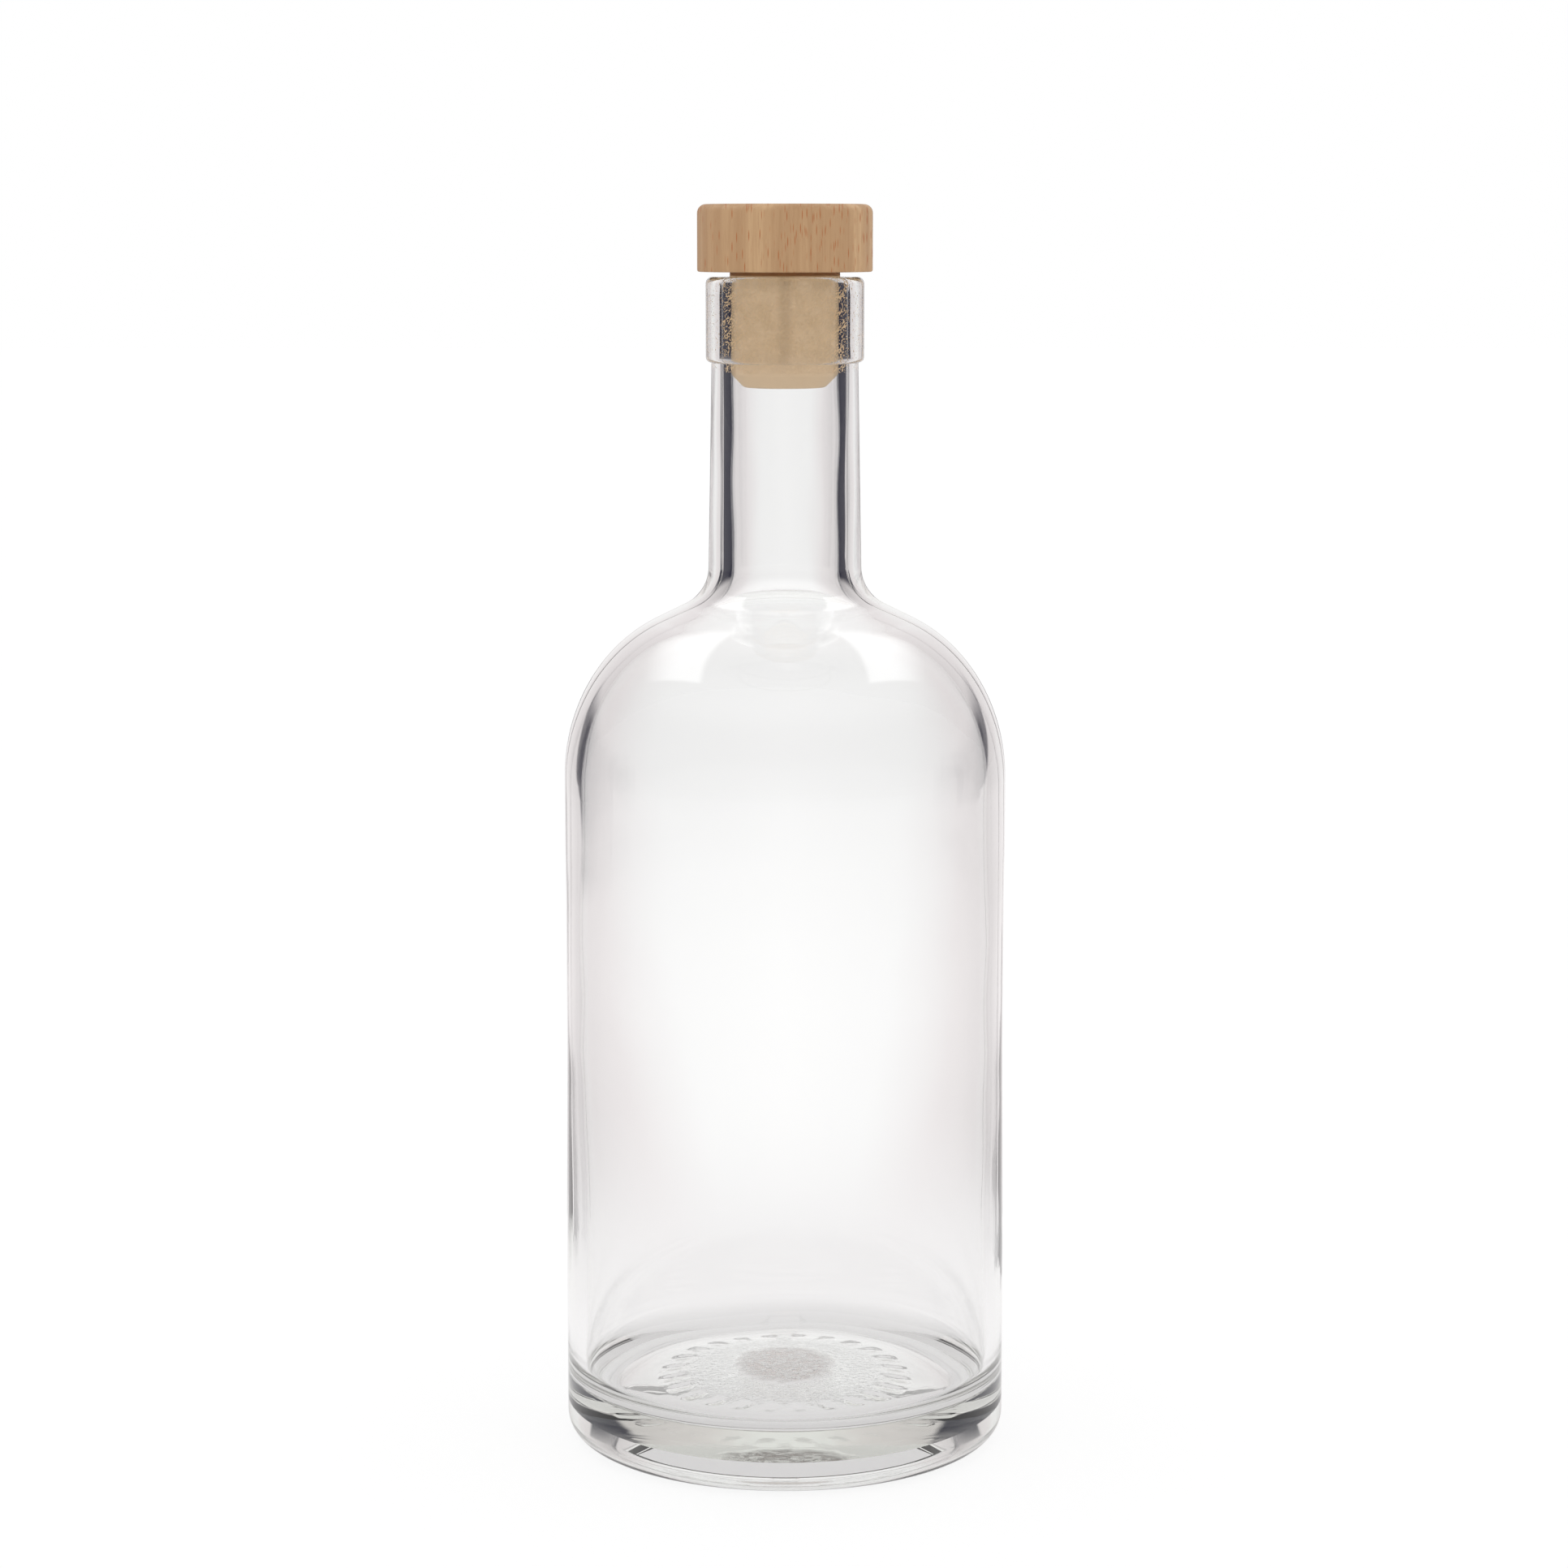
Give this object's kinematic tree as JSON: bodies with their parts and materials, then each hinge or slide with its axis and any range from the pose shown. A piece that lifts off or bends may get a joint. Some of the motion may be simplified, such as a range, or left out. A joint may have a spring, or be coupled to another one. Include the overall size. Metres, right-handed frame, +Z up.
{
  "type": "glass bottle with wood-topped stopper",
  "caption": "Round clear glass bottle with a domed shoulder, long neck, collared mouth and thick base, closed by a push-in stopper with a turned wood head.",
  "frame": {"origin": "centre of the ring that the bottle stands on, at ground level", "axes": "+Z up along the bottle's axis; the small notch in the standing ring is at the back, on +Y"},
  "size_m": [0.0866, 0.0866, 0.2427],
  "materials": {
    "clear_glass": "fire-polished flint glass, clear with a faint grey-green tint in the thick base",
    "beech": "turned and sanded beech, unvarnished, with fine short flecks along the grain",
    "synthetic_cork": "matte beige foamed plastic with a smooth moulded skin"
  },
  "bodies": {
    "bottle": {"bottle": "clear_glass"},
    "stopper": {"stopper_head": "beech", "stopper_shank": "synthetic_cork"}
  },
  "joints": [
    {"name": "stopper_pull", "type": "slide", "parent": "bottle", "child": "stopper", "axis": [0, 0, 1], "range_m": [0, 0.035]}
  ]
}
